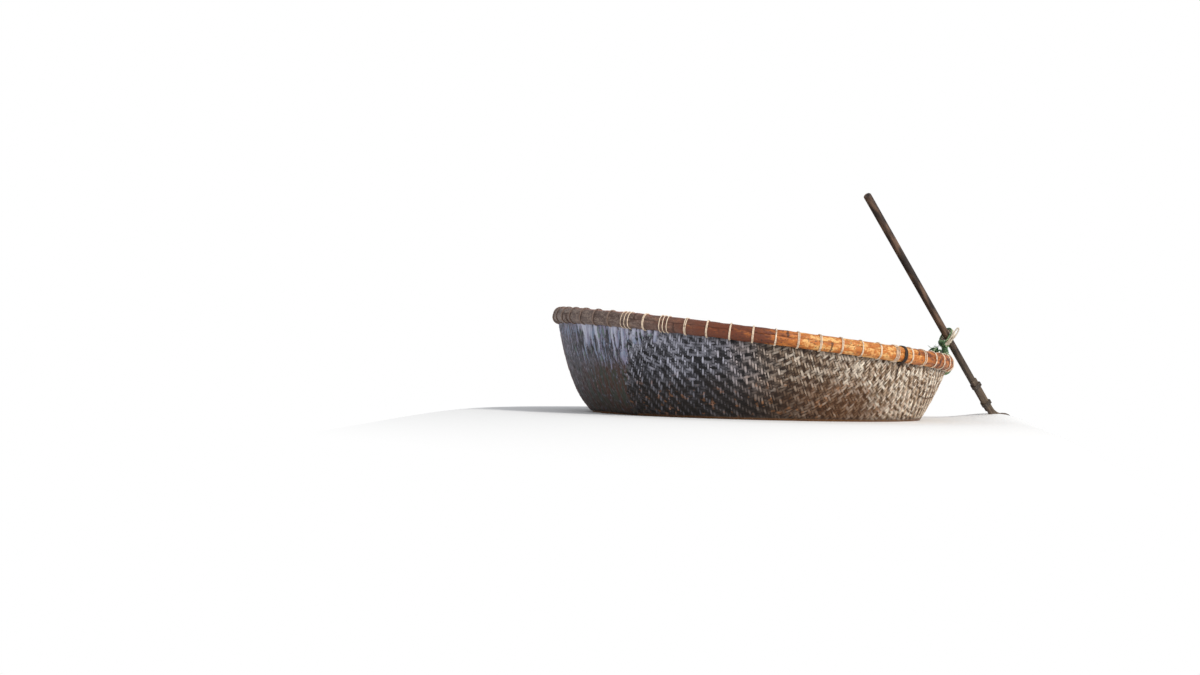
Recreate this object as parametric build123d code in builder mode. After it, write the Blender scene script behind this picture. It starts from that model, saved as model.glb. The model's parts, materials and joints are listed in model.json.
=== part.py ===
from build123d import *
import os
from math import cos, degrees, radians, sin, sqrt, tan

os.makedirs("parts", exist_ok=True)

# A round basket boat: a woven bamboo mat pressed into a bowl, held between bamboo hoops at the
# rim, stiffened by bent laths, with a seat plank and an oar in a rope loop at the rim.
# Millimetres and degrees. The origin is on the bowl's axis at the waterline, +Z is up and +X is
# the end that the rower faces.

# Bowl, measured on the mat's outer face, from the rim down. Lean is the angle from upright.
RIM_RADIUS = 579.0
FREEBOARD = 216.0
RIM_LEAN = 15.0
WALL_RADIUS = 809.0
WALL_LEAN = 27.0
BILGE_RADIUS = 270.0
BILGE_LEAN = 76.0
MAT_THICKNESS = 8.0
MAT_ABOVE_RIM = 17.0
MAT_STRAIGHT = 22.0

# Gap between pieces that lie against each other
SEAT_GAP = 0.3

# Rim: a half-round bamboo hoop on each side of the mat and a thin split cane over its edge. The
# hoops swell outwards at the bamboo's joints, which lie between lashings, JOINT_GAPS gaps apart.
HOOP_RADIUS = 19.0
HOOP_OFFSET = 3.0
JOINT_GAPS = 7
JOINT_RISE = 1.2
JOINT_WIDTH = 5.0
CAP_WIDTH = 28.0
CAP_HEIGHT = 6.2

# Rim lashings, evenly spaced
LASHING_COUNT = 56
LASHING_WIDTH = 6.5
LASHING_THICKNESS = 2.5
CROWN_SLACK = 0.5
CREST_WIDTH = 12.0

# Dark cord bound round the rim in one of the gaps between two lashings
BINDING_GAP = -7
BINDING_WIDTH = 13.0
BINDING_THICKNESS = 3.5

# Bent laths inside the bowl, in two layers that cross, with as many in each
RIB_WIDTH = 34.0
RIB_THICKNESS = 7.0
RIB_COUNT = 4
RIB_SPACING = 160.0

# Seat plank, across the boat
SEAT_WIDTH = 200.0
SEAT_THICKNESS = 22.0
SEAT_RISE = 125.0
SEAT_CHAMFER = 3.0

# Oar: its pivot stands above the rim in the gap after lashing OAR_GAP, a little outside the mat.
# The swing is the compass direction of its blade, and the lean is the shaft's angle from upright.
OAR_GAP = 1
PIVOT_OUTBOARD = 7.0
PIVOT_HEIGHT = 84.0
OAR_SWING_ANGLE = 45.0
OAR_LEAN = 48.0
OAR_STEEPEST_LEAN = 37.0
OAR_FLATTEST_LEAN = 84.5
HANDLE_LENGTH = 565.0
HANDLE_RADIUS = 12.0
HANDLE_ROUNDING = 5.0
NECK_DISTANCE = 293.0
NECK_RADIUS = 10.5
LAP_LENGTH = 120.0
BLADE_LENGTH = 420.0
BLADE_WIDTH = 110.0
BLADE_THICKNESS = 12.0
BLADE_SHOULDER_LENGTH = 90.0
BLADE_TIP_RADIUS = 40.0
BLADE_CHAMFER = 2.5
BAND_WIDTH = 14.0
BAND_THICKNESS = 2.0
BAND_PLACES = (0.2, 0.8)

# Rope loop that carries the oar, and the rope turns that hold it to the rim
LOOP_ROPE_RADIUS = 4.0
LOOP_ROPE_SIDES = 8
LOOP_BEND_STEPS = 6
LOOP_STRAIGHT = 20.0
LOOP_SPACING = 8.4
STEM_FOOT_RADIUS = 7.0
STEM_HEAD_RADIUS = 5.5
STEM_HEAD_DROP = 21.0
STEM_HEAD_INBOARD = 13.0
TIE_TURNS = 4
TIE_PITCH = 8.0
TIE_THICKNESS = 7.0
TIE_SLIT = 0.3
KNOT_RADIUS = 15.0
KNOT_LENGTH = 14.0
KNOT_TAPER = 9.0
KNOT_END_RADIUS = 9.0
KNOT_RISE = 8.0

# Values that follow from the sizes above
HOOP_FACE = MAT_THICKNESS / 2 + SEAT_GAP
CAP_FOOT = HOOP_RADIUS + SEAT_GAP
PITCH = 360.0 / LASHING_COUNT
OAR_AZIMUTH = (OAR_GAP + 0.5) * PITCH
BINDING_AZIMUTH = (BINDING_GAP + 0.5) * PITCH


def direction(azimuth, lean):
    """Unit vector that points away from the axis and down, `lean` degrees below level."""
    flat = Vector(cos(radians(azimuth)), sin(radians(azimuth)), 0)
    return flat * cos(radians(lean)) - Vector(0, 0, sin(radians(lean)))


def rim_plane(azimuth):
    """Section of the rim: x runs out through the mat and y runs up along it."""
    outwards = direction(azimuth, 0)
    return Plane(
        origin=outwards * RIM_RADIUS + Vector(0, 0, FREEBOARD),
        x_dir=direction(azimuth, RIM_LEAN),
        z_dir=outwards.cross(Vector(0, 0, 1)),
    )


def wall_point(inset, along):
    """Radius and height of a point on the straight top of the wall, `inset` inside the mat."""
    lean = radians(RIM_LEAN)
    across = MAT_THICKNESS / 2 - inset
    radius = RIM_RADIUS + across * cos(lean) + along * sin(lean)
    return radius, FREEBOARD - across * sin(lean) + along * cos(lean)


def arc_end(start, radius, lean_before, lean_after):
    """End of an arc of the bowl's outline that turns from one lean to another."""
    before, after = radians(lean_before), radians(lean_after)
    radial = start[0] + radius * (cos(after) - cos(before))
    return radial, start[1] - radius * (sin(after) - sin(before))


# The bottom's arc has its centre on the axis, which settles its radius and the bowl's depth
wall_end = arc_end(wall_point(0, -MAT_STRAIGHT), WALL_RADIUS, RIM_LEAN, WALL_LEAN)
bilge_end = arc_end(wall_end, BILGE_RADIUS, WALL_LEAN, BILGE_LEAN)
BOTTOM_RADIUS = bilge_end[0] / cos(radians(BILGE_LEAN))
BOTTOM = bilge_end[1] - BOTTOM_RADIUS * (1 - sin(radians(BILGE_LEAN)))


def bowl_line(inset):
    """Draw the bowl's half outline, `inset` inside the mat's outer face, and give its two ends."""
    lip = wall_point(inset, MAT_ABOVE_RIM)
    shoulder = wall_point(inset, -MAT_STRAIGHT)
    foot = (0, BOTTOM + inset)
    heading = (-sin(radians(RIM_LEAN)), -cos(radians(RIM_LEAN)))
    Line(lip, shoulder)
    wall = JernArc(shoulder, heading, WALL_RADIUS - inset, RIM_LEAN - WALL_LEAN)
    bilge = JernArc(wall @ 1, wall % 1, BILGE_RADIUS - inset, WALL_LEAN - BILGE_LEAN)
    TangentArc(bilge @ 1, foot, tangent=bilge % 1)
    return lip, foot


def layer_section(outer_inset, inner_inset):
    """Half section of a layer of the bowl between two insets."""
    with BuildSketch(Plane.XZ) as section:
        with BuildLine():
            outer_lip, outer_foot = bowl_line(outer_inset)
            inner_lip, inner_foot = bowl_line(inner_inset)
            Line(outer_lip, inner_lip)
            Line(outer_foot, inner_foot)
        make_face()
    return section.sketch


def bowl_section(inset):
    """Half section of all that the bowl holds inside an inset."""
    with BuildSketch(Plane.XZ) as section:
        with BuildLine():
            lip, foot = bowl_line(inset)
            Polyline(foot, (0, lip[1]), lip)
        make_face()
    return section.sketch


# The woven mat, one even skin pressed into a bowl
with BuildPart() as hull_shell:
    revolve(layer_section(0, MAT_THICKNESS), Axis.Z)

hull_shell.part.label = "hull_shell"
export_step(hull_shell.part, "parts/hull_shell.step")


def half_round(plane, side, rise):
    """Section of a hoop on one side of the mat, bulging `rise` beyond the plain hoop's round."""
    half_height = sqrt(HOOP_RADIUS**2 - (HOOP_FACE - HOOP_OFFSET) ** 2)
    low = (side * HOOP_FACE, -half_height)
    high = (side * HOOP_FACE, half_height)
    with BuildSketch(plane) as section:
        with BuildLine():
            ThreePointArc(low, (side * (HOOP_OFFSET + HOOP_RADIUS + rise), 0), high)
            Line(high, low)
        make_face()
    return section.sketch


# Half-round hoops on both sides of the mat: a raised ring at each of the bamboo's joints, and the
# plain stretch from there to the next joint
joint_turn = degrees(JOINT_WIDTH / RIM_RADIUS)
for name, side, first_gap in (("rim_outer_hoop", 1, 3), ("rim_inner_hoop", -1, 5)):
    joints = [(gap + 0.5) * PITCH for gap in range(first_gap, LASHING_COUNT, JOINT_GAPS)]
    with BuildPart() as hoop:
        for joint, following in zip(joints, joints[1:] + [joints[0] + 360]):
            ring = half_round(rim_plane(joint - joint_turn / 2), side, JOINT_RISE)
            revolve(ring, Axis.Z, revolution_arc=joint_turn)
            plain = half_round(rim_plane(joint + joint_turn / 2), side, 0)
            revolve(plain, Axis.Z, revolution_arc=following - joint - joint_turn)
    hoop.part.label = name
    export_step(hoop.part, f"parts/{name}.step")

# Split cane laid over the mat's edge, flat below and rounded above
with BuildPart() as rim_cap:
    with BuildSketch(rim_plane(0)):
        with BuildLine():
            left, right = (-CAP_WIDTH / 2, CAP_FOOT), (CAP_WIDTH / 2, CAP_FOOT)
            ThreePointArc(left, (0, CAP_FOOT + CAP_HEIGHT), right)
            Line(right, left)
        make_face()
    revolve(axis=Axis.Z)

rim_cap.part.label = "rim_cap"
export_step(rim_cap.part, "parts/rim_cap.step")


def around_rim(gap):
    """Half outline of a cord round the rim, `gap` off it, from under a hoop to over the cap."""
    reach = HOOP_RADIUS + gap
    corner = reach * tan(radians(22.5))
    return [
        (HOOP_FACE, -reach),
        (HOOP_OFFSET + corner, -reach),
        (HOOP_OFFSET + reach, -corner),
        (HOOP_OFFSET + reach, corner),
        (CAP_WIDTH / 2 + gap, CAP_FOOT + gap),
        (CREST_WIDTH / 2, CAP_FOOT + CAP_HEIGHT + CROWN_SLACK + gap),
    ]


def cord_outline(thickness):
    """Closed outline of a cord round the rim. Its ends go into the mat, one on each face."""
    inner = around_rim(SEAT_GAP)
    outer = around_rim(SEAT_GAP + thickness)
    inner += [(-x, y) for x, y in reversed(inner)]
    outer += [(-x, y) for x, y in reversed(outer)]
    return inner + outer[::-1]


# Cord lashings that clamp the hoops and the cap to the mat, all round the rim
with BuildPart() as rim_lashings:
    with BuildSketch(*[rim_plane(number * PITCH) for number in range(LASHING_COUNT)]):
        with BuildLine():
            Polyline(cord_outline(LASHING_THICKNESS), close=True)
        make_face()
    extrude(amount=LASHING_WIDTH / 2, both=True)

rim_lashings.part.label = "rim_lashings"
export_step(rim_lashings.part, "parts/rim_lashings.step")

# Dark cord bound round the rim
with BuildPart() as rim_binding:
    with BuildSketch(rim_plane(BINDING_AZIMUTH)):
        with BuildLine():
            Polyline(cord_outline(BINDING_THICKNESS), close=True)
        make_face()
    extrude(amount=BINDING_WIDTH / 2, both=True)

rim_binding.part.label = "rim_binding"
export_step(rim_binding.part, "parts/rim_binding.step")

# Bent laths. The fore and aft ones lie on the mat and the others lie across them. They end under
# the rim, clear of the rope turns.
FIRST_LAYER = MAT_THICKNESS + SEAT_GAP
SECOND_LAYER = FIRST_LAYER + RIB_THICKNESS + SEAT_GAP
RIB_TOP = FREEBOARD - HOOP_RADIUS - TIE_THICKNESS - 3 * SEAT_GAP
RIB_LAYERS = (
    # name, turn about the axis, inset of the lath's lower face
    ("rib_fore_aft", 0, FIRST_LAYER),
    ("rib_athwart", 90, SECOND_LAYER),
)
for family, turn, inset in RIB_LAYERS:
    for number in range(1, RIB_COUNT + 1):
        offset = (number - (RIB_COUNT + 1) / 2) * RIB_SPACING
        with BuildPart() as rib:
            revolve(layer_section(inset, inset + RIB_THICKNESS), Axis.Z)
            with Locations(Location((0, 0, (BOTTOM + RIB_TOP) / 2), (0, 0, turn))):
                with Locations((0, offset)):
                    Box(2 * RIM_RADIUS, RIB_WIDTH, RIB_TOP - BOTTOM, mode=Mode.INTERSECT)
        rib.part.label = f"{family}_{number}"
        export_step(rib.part, f"parts/{family}_{number}.step")

# Seat plank, cut to the bowl at its ends, where it rests on the athwart laths
SEAT_INSET = SECOND_LAYER + RIB_THICKNESS + SEAT_GAP
with BuildPart() as seat_plank:
    revolve(bowl_section(SEAT_INSET), Axis.Z)
    with Locations((0, 0, BOTTOM + SEAT_RISE)):
        Box(
            SEAT_WIDTH,
            2 * RIM_RADIUS,
            SEAT_THICKNESS,
            align=(Align.CENTER, Align.CENTER, Align.MAX),
            mode=Mode.INTERSECT,
        )
    chamfer(seat_plank.edges().filter_by(Axis.Y), SEAT_CHAMFER)

seat_plank.part.label = "seat_plank"
export_step(seat_plank.part, "parts/seat_plank.step")

# Rope turns round the rim, side by side, with the knot that ends them inboard
with BuildPart() as oar_tie:
    places = [(turn - (TIE_TURNS - 1) / 2) * TIE_PITCH for turn in range(TIE_TURNS)]
    turns = [rim_plane(OAR_AZIMUTH).offset(place) for place in places]
    with BuildSketch(*turns):
        with BuildLine():
            Polyline(cord_outline(TIE_THICKNESS), close=True)
        make_face()
    extrude(amount=(TIE_PITCH - TIE_SLIT) / 2, both=True)
    with Locations(rim_plane(OAR_AZIMUTH)):
        with Locations((-CAP_WIDTH / 2 - KNOT_RADIUS, CAP_FOOT + KNOT_RISE)):
            Cylinder(KNOT_RADIUS, KNOT_LENGTH)
            for end in (-1, 1):
                with Locations(Location((0, 0, end * (KNOT_LENGTH + KNOT_TAPER) / 2), (90 - 90 * end, 0, 0))):
                    Cone(KNOT_RADIUS, KNOT_END_RADIUS, KNOT_TAPER)

oar_tie.part.label = "oar_tie"
export_step(oar_tie.part, "parts/oar_tie.step")

# The oar turns in its loop about the pivot, which stands over the rope turns
pivot = rim_plane(OAR_AZIMUTH).origin + direction(OAR_AZIMUTH, 0) * PIVOT_OUTBOARD
pivot += Vector(0, 0, PIVOT_HEIGHT)
swing = direction(OAR_SWING_ANGLE, 0)
beside_oar = Vector(0, 0, 1).cross(swing)


def shaft_plane(lean, distance=0.0):
    """Plane square to the shaft at a distance up it from the pivot; y runs beside the oar."""
    up_shaft = Vector(0, 0, cos(radians(lean))) - swing * sin(radians(lean))
    return Plane(origin=pivot + up_shaft * distance, x_dir=beside_oar.cross(up_shaft), z_dir=up_shaft)


shaft_length = HANDLE_LENGTH + NECK_DISTANCE
shaft_taper = (HANDLE_RADIUS - NECK_RADIUS) / shaft_length
pivot_shaft_radius = NECK_RADIUS + shaft_taper * NECK_DISTANCE

# Two rope rings round the shaft, long enough that the oar can tip in them, and the stem that
# carries them on the rope turns
loop_lean = (OAR_STEEPEST_LEAN + OAR_FLATTEST_LEAN) / 2
loop_bend = pivot_shaft_radius + SEAT_GAP + LOOP_ROPE_RADIUS
tie_top = CAP_FOOT + CAP_HEIGHT + CROWN_SLACK + SEAT_GAP + TIE_THICKNESS
tie_height = tie_top * cos(radians(RIM_LEAN)) + CREST_WIDTH / 2 * sin(radians(RIM_LEAN))
stem_foot = Vector(pivot.X, pivot.Y, FREEBOARD + tie_height + SEAT_GAP)
stem_head = pivot - swing * STEM_HEAD_INBOARD - Vector(0, 0, STEM_HEAD_DROP)
with BuildPart() as oar_loop:
    for place in (-LOOP_SPACING / 2, LOOP_SPACING / 2):
        # An oval ring as straight lengths of rope, mitred where they meet. It starts halfway
        # along one of the long sides, which lie against the shaft's flanks.
        corners = [(0, -loop_bend)]
        for end in (1, -1):
            for step in range(LOOP_BEND_STEPS + 1):
                turned = radians(180.0 * step / LOOP_BEND_STEPS - 90.0)
                along = LOOP_STRAIGHT / 2 + loop_bend * cos(turned)
                corners.append((end * along, end * loop_bend * sin(turned)))
        with BuildLine(shaft_plane(loop_lean, place)) as ring:
            Polyline(corners, close=True)
        across_ring = shaft_plane(loop_lean).z_dir
        start = ring.line.edges()[0]
        with BuildSketch(Plane(origin=start @ 0, x_dir=across_ring, z_dir=start % 0)):
            RegularPolygon(
                LOOP_ROPE_RADIUS,
                LOOP_ROPE_SIDES,
                major_radius=False,
                rotation=180.0 / LOOP_ROPE_SIDES,
            )
        sweep(path=ring.line, transition=Transition.RIGHT)
    with BuildSketch(Plane(origin=stem_foot)):
        Circle(STEM_FOOT_RADIUS)
    with BuildSketch(Plane(origin=stem_head)):
        Circle(STEM_HEAD_RADIUS)
    loft()

oar_loop.part.label = "oar_loop"
export_step(oar_loop.part, "parts/oar_loop.step")

# Tapered shaft, halved at its lower end for the blade
with BuildPart() as oar_shaft:
    with BuildSketch(shaft_plane(OAR_LEAN, -NECK_DISTANCE)):
        Circle(NECK_RADIUS)
    with BuildSketch(shaft_plane(OAR_LEAN, HANDLE_LENGTH)):
        Circle(HANDLE_RADIUS)
    loft()
    fillet(oar_shaft.edges().filter_by(GeomType.CIRCLE).sort_by(Axis.Z)[-1], HANDLE_ROUNDING)
    with Locations(shaft_plane(OAR_LEAN, -NECK_DISTANCE)):
        Box(
            2 * HANDLE_RADIUS,
            2 * HANDLE_RADIUS,
            LAP_LENGTH,
            align=(Align.CENTER, Align.MAX, Align.MIN),
            mode=Mode.SUBTRACT,
        )

oar_shaft.part.label = "oar_shaft"
export_step(oar_shaft.part, "parts/oar_shaft.step")

# Blade: a board whose narrow neck lies in the shaft's lap and whose shoulders swell below it
neck_plane = shaft_plane(OAR_LEAN, -NECK_DISTANCE)
with BuildPart() as oar_blade:
    with BuildSketch(Plane(origin=neck_plane.origin, x_dir=neck_plane.x_dir, z_dir=neck_plane.y_dir)):
        # x is across the blade and y runs down the oar from the neck
        with BuildLine():
            half = BLADE_WIDTH / 2
            flank_end = BLADE_LENGTH - BLADE_TIP_RADIUS
            for side in (-1, 1):
                Line((side * NECK_RADIUS, -LAP_LENGTH), (side * NECK_RADIUS, 0))
                shoulder = TangentArc(
                    (side * NECK_RADIUS, 0),
                    (side * (NECK_RADIUS + half) / 2, BLADE_SHOULDER_LENGTH / 2),
                    tangent=(0, 1),
                )
                flank = TangentArc(shoulder @ 1, (side * half, BLADE_SHOULDER_LENGTH), tangent=shoulder % 1)
                Line(flank @ 1, (side * half, flank_end))
                TangentArc(
                    (side * half, flank_end),
                    (side * (half - BLADE_TIP_RADIUS), BLADE_LENGTH),
                    tangent=(0, 1),
                )
            Line((-NECK_RADIUS, -LAP_LENGTH), (NECK_RADIUS, -LAP_LENGTH))
            Line(
                (BLADE_TIP_RADIUS - half, BLADE_LENGTH),
                (half - BLADE_TIP_RADIUS, BLADE_LENGTH),
            )
        make_face()
    extrude(amount=-BLADE_THICKNESS)
    chamfer(oar_blade.faces().sort_by(SortBy.AREA)[-2:].edges(), BLADE_CHAMFER)

oar_blade.part.label = "oar_blade"
export_step(oar_blade.part, "parts/oar_blade.step")

# Cord bands that bind the blade's neck into the lap
with BuildPart() as oar_blade_bands:
    bands = [shaft_plane(OAR_LEAN, LAP_LENGTH * place - NECK_DISTANCE) for place in BAND_PLACES]
    lap_radius = NECK_RADIUS + shaft_taper * LAP_LENGTH
    with BuildSketch(*bands):
        for gap, mode in ((SEAT_GAP + BAND_THICKNESS, Mode.ADD), (SEAT_GAP, Mode.SUBTRACT)):
            Circle(lap_radius + gap, mode=mode)
            Rectangle(
                2 * (lap_radius + gap),
                BLADE_THICKNESS + gap,
                align=(Align.CENTER, Align.MAX),
                mode=mode,
            )
    extrude(amount=BAND_WIDTH / 2, both=True)

oar_blade_bands.part.label = "oar_blade_bands"
export_step(oar_blade_bands.part, "parts/oar_blade_bands.step")
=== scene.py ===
import json
from math import atan2, ceil, cos, pi, radians, sin, sqrt

import bpy
import numpy as np
from mathutils import Matrix, Vector


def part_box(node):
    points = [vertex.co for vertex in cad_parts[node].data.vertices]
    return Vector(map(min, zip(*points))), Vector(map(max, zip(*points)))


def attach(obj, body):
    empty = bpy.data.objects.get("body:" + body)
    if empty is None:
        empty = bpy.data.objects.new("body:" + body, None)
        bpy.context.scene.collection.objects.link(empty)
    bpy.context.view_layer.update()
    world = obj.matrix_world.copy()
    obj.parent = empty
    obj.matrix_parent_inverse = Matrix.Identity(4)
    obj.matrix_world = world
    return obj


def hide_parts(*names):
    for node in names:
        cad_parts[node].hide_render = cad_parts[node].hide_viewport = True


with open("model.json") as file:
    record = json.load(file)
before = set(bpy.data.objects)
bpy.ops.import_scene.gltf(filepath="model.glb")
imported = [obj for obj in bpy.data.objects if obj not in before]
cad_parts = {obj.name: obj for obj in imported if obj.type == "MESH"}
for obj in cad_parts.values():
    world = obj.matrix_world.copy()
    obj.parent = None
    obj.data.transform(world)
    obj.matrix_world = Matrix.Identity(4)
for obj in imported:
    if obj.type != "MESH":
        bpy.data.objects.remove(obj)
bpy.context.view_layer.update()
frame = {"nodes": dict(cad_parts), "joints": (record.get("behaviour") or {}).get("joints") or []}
nodes = frame["nodes"]
chance = np.random.default_rng(7)

# The mat is one square of split bamboo, woven flat in a two-over two-under twill and then
# pressed into a bowl. Its strips run straight up the wall at four places round the rim and
# slant between them. Outside and in it is tarred, and the tar is worn off towards the bow.
RIM_RADIUS = 0.579
RIM_HEIGHT = 0.216
RIM_LEAN = radians(15)
MAT_THICKNESS = 0.008
MAT_ABOVE_RIM = 0.017
MAT_STRAIGHT = 0.022
WALL_RADIUS = 0.809
WALL_LEAN = radians(27)
BILGE_RADIUS = 0.270
BILGE_LEAN = radians(76)

STRIP_PITCH = 0.0092
STRIP_WIDTH = 0.0072
STRIP_RISE = 0.0008
STRIP_CROWN = 0.0010
STRIP_UNEVEN = 0.00025
STRIP_WIDTH_UNEVEN = 0.15
STRIP_WANDER = 0.0009
STRIP_WANDER_RATE = 31
MAT_STRAY = 0.0036
MAT_STRAY_SIZE = 0.085
MAT_TURN = radians(-17)
HOOP_COVERS = 0.0175


def run_along(line):
    """How far each point of a line is from its start."""
    return np.concatenate([[0], np.cumsum(np.linalg.norm(np.diff(line, axis=0), axis=1))])


def bowl_outline():
    """Distance from the middle along the mat, radius, height and lean, from the middle to the lip."""
    step = 0.0005
    across = MAT_THICKNESS / 2
    radius = RIM_RADIUS + across * cos(RIM_LEAN) + MAT_ABOVE_RIM * sin(RIM_LEAN)
    height = RIM_HEIGHT - across * sin(RIM_LEAN) + MAT_ABOVE_RIM * cos(RIM_LEAN)
    rows = [(radius, height, RIM_LEAN)]

    def follow(length, lean_before, lean_after):
        steps = ceil(length / step)
        run = length / steps
        for lean in np.linspace(lean_before, lean_after, steps):
            rows.append((rows[-1][0] - run * sin(lean), rows[-1][1] - run * cos(lean), lean))

    follow(MAT_ABOVE_RIM + MAT_STRAIGHT, RIM_LEAN, RIM_LEAN)
    follow(WALL_RADIUS * (WALL_LEAN - RIM_LEAN), RIM_LEAN, WALL_LEAN)
    follow(BILGE_RADIUS * (BILGE_LEAN - WALL_LEAN), WALL_LEAN, BILGE_LEAN)
    bottom_radius = rows[-1][0] / cos(BILGE_LEAN)
    follow(bottom_radius * (pi / 2 - BILGE_LEAN), BILGE_LEAN, pi / 2)
    table = np.array(rows)[::-1]
    return run_along(table[:, :2]), table[:, 0], table[:, 1], table[:, 2]


ALONG_BOWL, BOWL_RADIUS, BOWL_HEIGHT, BOWL_LEAN = bowl_outline()
MAT_END = ALONG_BOWL[-1] - MAT_ABOVE_RIM - HOOP_COVERS


def on_bowl(distance, azimuth, out):
    """Points on the mat: distance from its middle, direction, and height off its outer face."""
    lean = np.interp(distance, ALONG_BOWL, BOWL_LEAN)
    radius = np.interp(distance, ALONG_BOWL, BOWL_RADIUS) + out * np.cos(lean)
    height = np.interp(distance, ALONG_BOWL, BOWL_HEIGHT) - out * np.sin(lean)
    return np.stack([radius * np.cos(azimuth), radius * np.sin(azimuth), height], -1)


def ripple(x, y, length, seed):
    """Smooth noise about 0, with bumps about `length` across."""
    waves = np.random.default_rng(seed)
    total = 0 * x + 0 * y
    for _ in range(7):
        heading = waves.uniform(0, 2 * pi)
        turn = 2 * pi / (length * waves.uniform(0.7, 1.6))
        total = total + np.sin((x * cos(heading) + y * sin(heading)) * turn + waves.uniform(0, 6.3))
    return total / 3


def pressed(across, along, out):
    """Where a point of the flat mat goes when the mat is pressed into the bowl."""
    stray = MAT_STRAY * (1 - (across**2 + along**2) / MAT_END**2)
    x = across + stray * ripple(across, along, MAT_STRAY_SIZE, 21)
    y = along + stray * ripple(across, along, MAT_STRAY_SIZE, 22)
    return on_bowl(np.hypot(x, y), np.arctan2(y, x) + MAT_TURN, out)


def piece(name, points, faces, body, slot, material, grain=None, sharp=None, **marks):
    """A mesh with its material, riding on a body. grain is each point's place along and round it."""
    mesh = bpy.data.meshes.new(name)
    mesh.from_pydata(np.asarray(points, float).tolist(), [], [list(map(int, f)) for f in faces])
    mesh.update()
    mesh.polygons.foreach_set("use_smooth", np.full(len(mesh.polygons), True))
    if grain is not None:
        made = mesh.attributes.new("grain", "FLOAT_VECTOR", "POINT")
        made.data.foreach_set("vector", np.asarray(grain, np.float32).ravel())
    for label, values in marks.items():
        made = mesh.attributes.new(label, "FLOAT", "POINT")
        made.data.foreach_set("value", np.asarray(values, np.float32))
    if sharp is not None:
        ends = np.zeros(len(mesh.edges) * 2, np.int64)
        mesh.edges.foreach_get("vertices", ends)
        ends = ends.reshape(-1, 2)
        made = mesh.attributes.new("sharp_edge", "BOOLEAN", "EDGE")
        made.data.foreach_set("value", np.asarray(sharp)[ends].all(axis=1))
    mesh.materials.append(material)
    made = bpy.data.objects.new(name, mesh)
    bpy.context.scene.collection.objects.link(made)
    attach(made, body)
    return made


class Wire:
    """One output of a material's nodes, worked with like a number."""

    def __init__(self, tree, socket=None):
        self.tree, self.socket = tree, socket

    def node(self, kind, settings=None, sockets=None, out=0):
        """Add a node: its settings first, then its sockets' values or links. Gives one output."""
        made = self.tree.nodes.new(kind)
        for name, value in (settings or {}).items():
            setattr(made, name, value)
        for name, value in (sockets or {}).items():
            if isinstance(value, Wire):
                self.tree.links.new(value.socket, made.inputs[name])
            elif isinstance(value, tuple) and len(made.inputs[name].default_value) == 4:
                made.inputs[name].default_value = (*value[:3], 1)
            else:
                made.inputs[name].default_value = value
        return Wire(self.tree, made.outputs[out] if len(made.outputs) else None)

    def maths(self, operation, first, second):
        """A Math node on two values."""
        return self.node("ShaderNodeMath", {"operation": operation}, {0: first, 1: second})

    def __add__(self, other):
        return self.maths("ADD", self, other)

    def __radd__(self, other):
        return self.maths("ADD", other, self)

    def __sub__(self, other):
        return self.maths("SUBTRACT", self, other)

    def __rsub__(self, other):
        return self.maths("SUBTRACT", other, self)

    def __mul__(self, other):
        return self.maths("MULTIPLY", self, other)

    def __rmul__(self, other):
        return self.maths("MULTIPLY", other, self)

    def __pow__(self, other):
        return self.maths("POWER", self, other)

    def __rpow__(self, other):
        return self.maths("POWER", other, self)

    def part(self, axis):
        """X, Y or Z of a vector."""
        return self.node("ShaderNodeSeparateXYZ", None, {0: self}, "XYZ".index(axis))

    def step(self, low, high):
        """0 below low and 1 above high, with a smooth slope between."""
        sockets = {"Value": self, "From Min": low, "From Max": high}
        return self.node("ShaderNodeMapRange", {"interpolation_type": "SMOOTHSTEP"}, sockets)

    def stretched(self, x, y, z):
        """A vector with each part multiplied."""
        sockets = {0: self, 1: (x, y, z)}
        return self.node("ShaderNodeVectorMath", {"operation": "MULTIPLY"}, sockets)

    def noise(self, scale, detail, distortion=0.0):
        """Cloudy noise read at this place."""
        sockets = {"Vector": self, "Scale": scale, "Detail": detail, "Distortion": distortion}
        return self.node("ShaderNodeTexNoise", None, sockets)

    def streaks(self, x, y, z, detail):
        """Noise drawn out along one direction: the larger a number, the finer it is that way."""
        return self.stretched(x, y, z).noise(1.0, detail)

    def mixed(self, first, second):
        """The first colour where this mask is 0 and the second where it is 1."""
        return self.node("ShaderNodeMix", {"data_type": "RGBA"}, {0: self, 6: first, 7: second}, 2)

    def shaded(self, base):
        """A colour multiplied by this value, dark to light."""
        grey = self.node("ShaderNodeCombineColor", None, {0: self, 1: self, 2: self})
        settings = {"data_type": "RGBA", "blend_type": "MULTIPLY"}
        return self.node("ShaderNodeMix", settings, {0: 1.0, 6: base, 7: grey}, 2)


def colour(red, green, blue):
    """A colour as a screen shows it, 0 to 255, made linear for the shader."""
    return tuple(((part / 255 + 0.055) / 1.055) ** 2.4 for part in (red, green, blue))


def finish(name, paint, specular=0.5):
    """A material. paint gets the first wire and gives the shader's sockets by name."""
    made = bpy.data.materials.new(name)
    made.use_nodes = True
    tree = made.node_tree
    tree.nodes.clear()
    start = Wire(tree)
    place = start.node("ShaderNodeTexCoord", None, None, "Object")
    sockets = dict(paint(place))
    bump = sockets.pop("bump", None)
    if bump is not None:
        height, depth = bump
        sockets["Normal"] = start.node(
            "ShaderNodeBump", None, {"Strength": 1.0, "Distance": depth, "Height": height}
        )
    sockets["Specular IOR Level"] = specular
    surface = start.node("ShaderNodeBsdfPrincipled", None, sockets)
    start.node("ShaderNodeOutputMaterial", None, {"Surface": surface})
    return made


def mark(wire, name, out="Fac"):
    """A value that each point of the mesh carries."""
    return wire.node("ShaderNodeAttribute", {"attribute_name": name}, None, out)


# How the water's surface slopes against the boat, which floats a little down at the bow
WATER_RISE = 0.097
WATER_SIDE = 0.037
WATER_LEVEL = -0.009

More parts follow.
